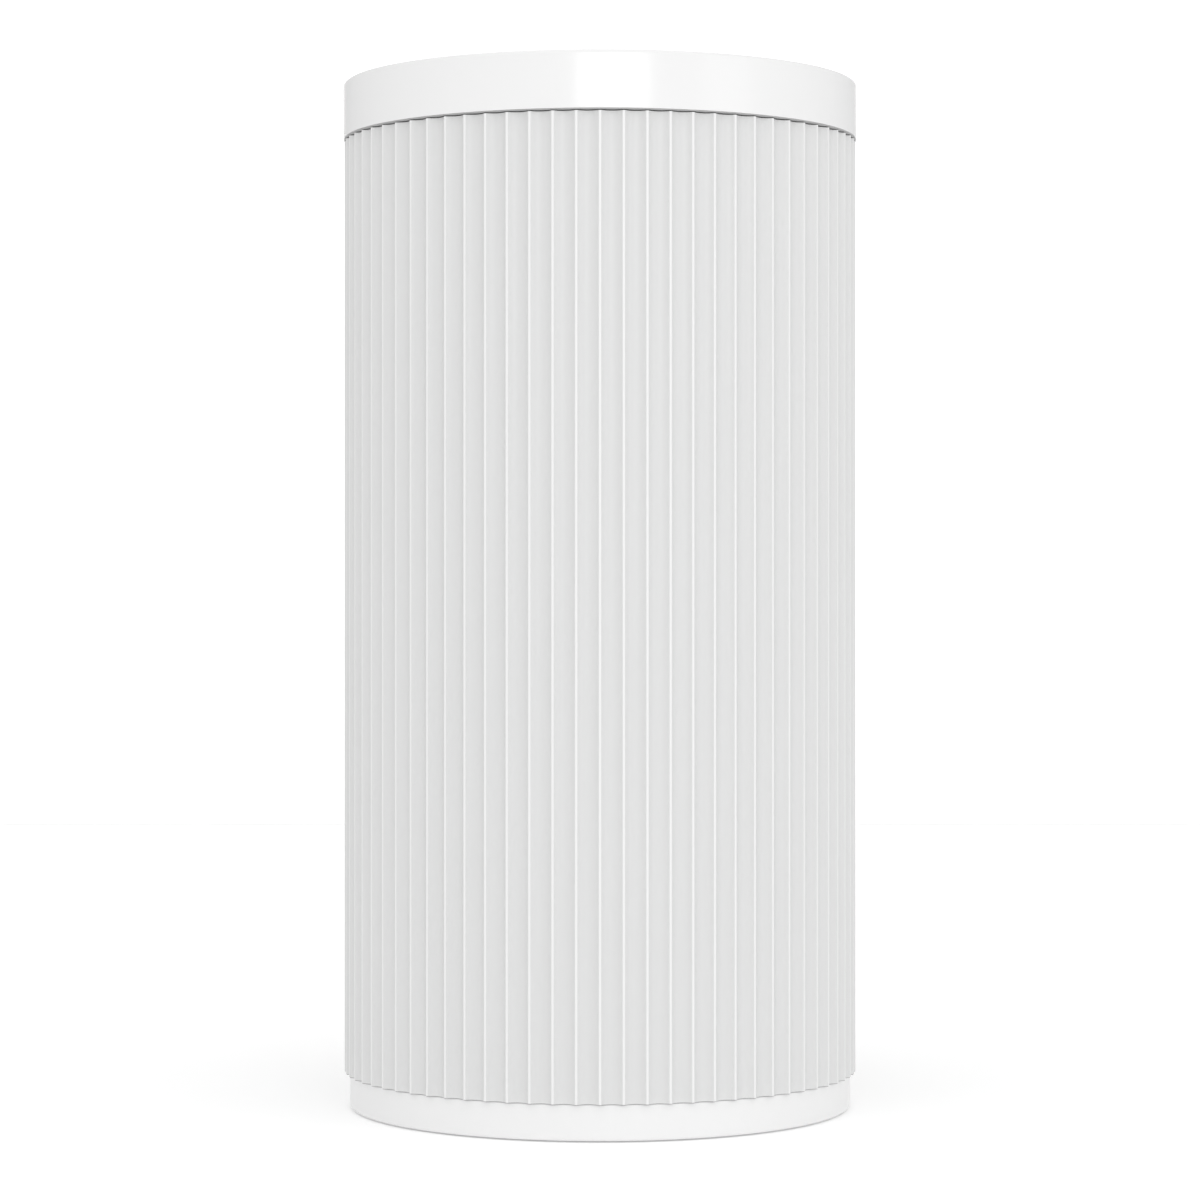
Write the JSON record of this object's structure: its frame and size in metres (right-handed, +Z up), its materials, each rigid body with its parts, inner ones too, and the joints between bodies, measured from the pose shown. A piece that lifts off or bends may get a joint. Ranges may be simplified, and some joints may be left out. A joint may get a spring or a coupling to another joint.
{
  "type": "air purifier",
  "caption": "Free-standing round column air purifier with a fluted shell, plain top band and base ring, rear filter door, pull-out filter, blower and push keys.",
  "frame": {"origin": "centre of the footprint, at the height of the undersides of the feet", "axes": "+Z up along the column's axis, -Y the plain front, +Y the rear with the door and the mains inlet"},
  "size_m": [0.221, 0.221, 0.439],
  "materials": {
    "shell_white": "satin",
    "band_white": "polished",
    "base_white": "satin",
    "grille_white": "fine texture",
    "frame_grey": "moulded, fine texture",
    "fan_grey": "moulded",
    "panel_white": "polished",
    "key_white": "satin",
    "light_diffuser": "frosted",
    "dark_rubber": "moulded",
    "inlet_black": "moulded",
    "bright_steel": "ground",
    "nickel_plate": "nickel plated",
    "ferrite": "bonded ferrite",
    "lamination_steel": "stacked sheets",
    "brass": "turned",
    "board_green": "solder mask",
    "filter_plastic": "moulded",
    "filter_paper": "pleated nonwoven",
    "carbon": "granulate in a net",
    "filter_net": "woven nylon",
    "seal_foam": "closed-cell foam",
    "pull_strap": "woven",
    "cable_black": "sleeved"
  },
  "bodies": {
    "housing": {"front_shell": "shell_white", "rear_skirt": "shell_white", "rear_upper_shell": "shell_white", "top_band": "band_white", "base_pan": "base_white", "outlet_grille": "grille_white", "control_bowl": "grille_white", "filter_tray": "frame_grey", "chassis_wall": "frame_grey", "fan_deck": "frame_grey", "blower_duct": "frame_grey", "motor_mount": "frame_grey", "control_panel": "panel_white", "light_ring": "light_diffuser", "mains_inlet": "inlet_black", "power_board": "board_green", "control_board": "board_green", "air_sensor": "filter_plastic", "harness": "cable_black", "stator": "lamination_steel", "strike_strip_right": "bright_steel", "strike_strip_left": "bright_steel", "base_screw_1": "bright_steel", "base_screw_2": "bright_steel", "base_screw_3": "bright_steel", "duct_screw_1": "bright_steel", "duct_screw_2": "bright_steel", "duct_screw_3": "bright_steel", "lower_bearing": "bright_steel", "upper_bearing": "bright_steel", "foot_front_right": "dark_rubber", "foot_front_left": "dark_rubber", "foot_rear_right": "dark_rubber", "foot_rear_left": "dark_rubber", "inlet_pin_right": "brass", "inlet_pin_left": "brass"},
    "door": {"intake_door": "shell_white", "door_net": "filter_net", "door_magnet_upper_right": "nickel_plate", "door_magnet_upper_left": "nickel_plate", "door_magnet_lower_right": "nickel_plate", "door_magnet_lower_left": "nickel_plate"},
    "filter": {"filter_base": "filter_plastic", "filter_media": "filter_paper", "carbon_core": "carbon", "filter_net": "filter_net", "filter_collar": "filter_plastic", "filter_seal": "seal_foam", "filter_tab": "pull_strap"},
    "rotor": {"impeller": "fan_grey", "motor_shaft": "bright_steel", "shaft_nut": "bright_steel", "rotor_cup": "bright_steel", "rotor_magnet": "ferrite"},
    "power_push": {"power_key": "key_white"},
    "speed_push": {"speed_key": "key_white"},
    "timer_push": {"timer_key": "key_white"},
    "night_push": {"night_key": "key_white"}
  },
  "joints": [
    {"name": "rotor_spin", "type": "hinge", "parent": "housing", "child": "rotor", "pos_m": [0, 0, 0.32], "axis": [0, 0, 1], "continuous": true},
    {"name": "door_pull", "type": "slide", "parent": "housing", "child": "door", "axis": [0, 1, 0], "range_m": [0, 0.34]},
    {"name": "filter_pull", "type": "slide", "parent": "housing", "child": "filter", "axis": [0, 1, 0], "range_m": [0, 0.2]},
    {"name": "power_press", "type": "slide", "parent": "housing", "child": "power_push", "axis": [0, 0, -1], "range_m": [0, 0.0007], "stiffness_N_per_m": 1200, "springref_m": -0.0005},
    {"name": "speed_press", "type": "slide", "parent": "housing", "child": "speed_push", "axis": [0, 0, -1], "range_m": [0, 0.0007], "stiffness_N_per_m": 1200, "springref_m": -0.0005},
    {"name": "timer_press", "type": "slide", "parent": "housing", "child": "timer_push", "axis": [0, 0, -1], "range_m": [0, 0.0007], "stiffness_N_per_m": 1200, "springref_m": -0.0005},
    {"name": "night_press", "type": "slide", "parent": "housing", "child": "night_push", "axis": [0, 0, -1], "range_m": [0, 0.0007], "stiffness_N_per_m": 1200, "springref_m": -0.0005}
  ],
  "couplings": [
    {"joint": "filter_pull", "follows": "door_pull", "ratio": 0.58}
  ]
}
